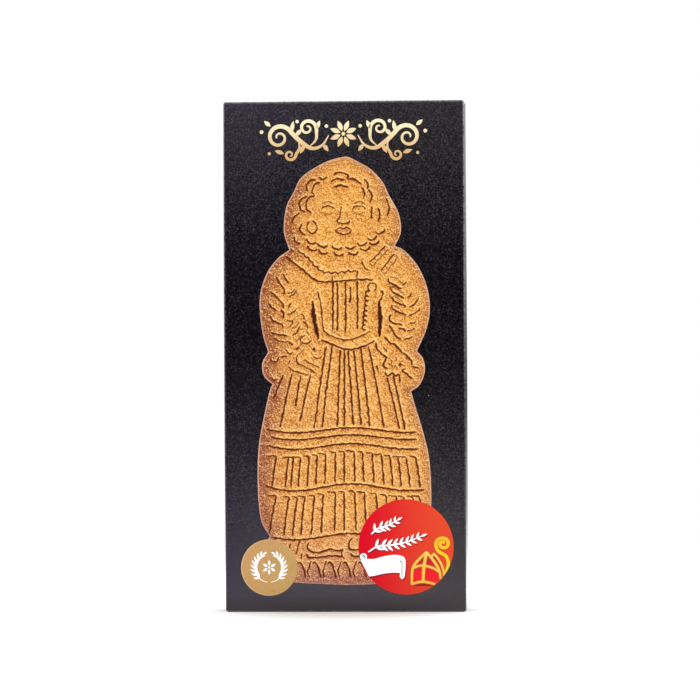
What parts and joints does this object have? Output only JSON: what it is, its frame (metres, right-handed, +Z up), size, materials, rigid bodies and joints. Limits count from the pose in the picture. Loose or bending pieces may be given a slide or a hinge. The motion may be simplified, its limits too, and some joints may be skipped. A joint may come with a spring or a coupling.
{
  "type": "speculoos biscuit carton",
  "caption": "Flat upright folding carton for a large moulded speculoos biscuit, shut at both ends, with the biscuit pictured on its front and a round paper sticker.",
  "frame": {"origin": "middle of the bottom end, on the surface that the carton stands on", "axes": "+Z up along the carton's height, +X to the right seen from the front, -Y out of the printed front"},
  "size_m": [0.152, 0.0315, 0.32],
  "materials": {
    "printed_board": "black print under a semi-matte varnish",
    "sticker_paper": "satin coated paper"
  },
  "bodies": {
    "root": {"carton": "printed_board", "round_sticker": "sticker_paper"}
  },
  "joints": []
}
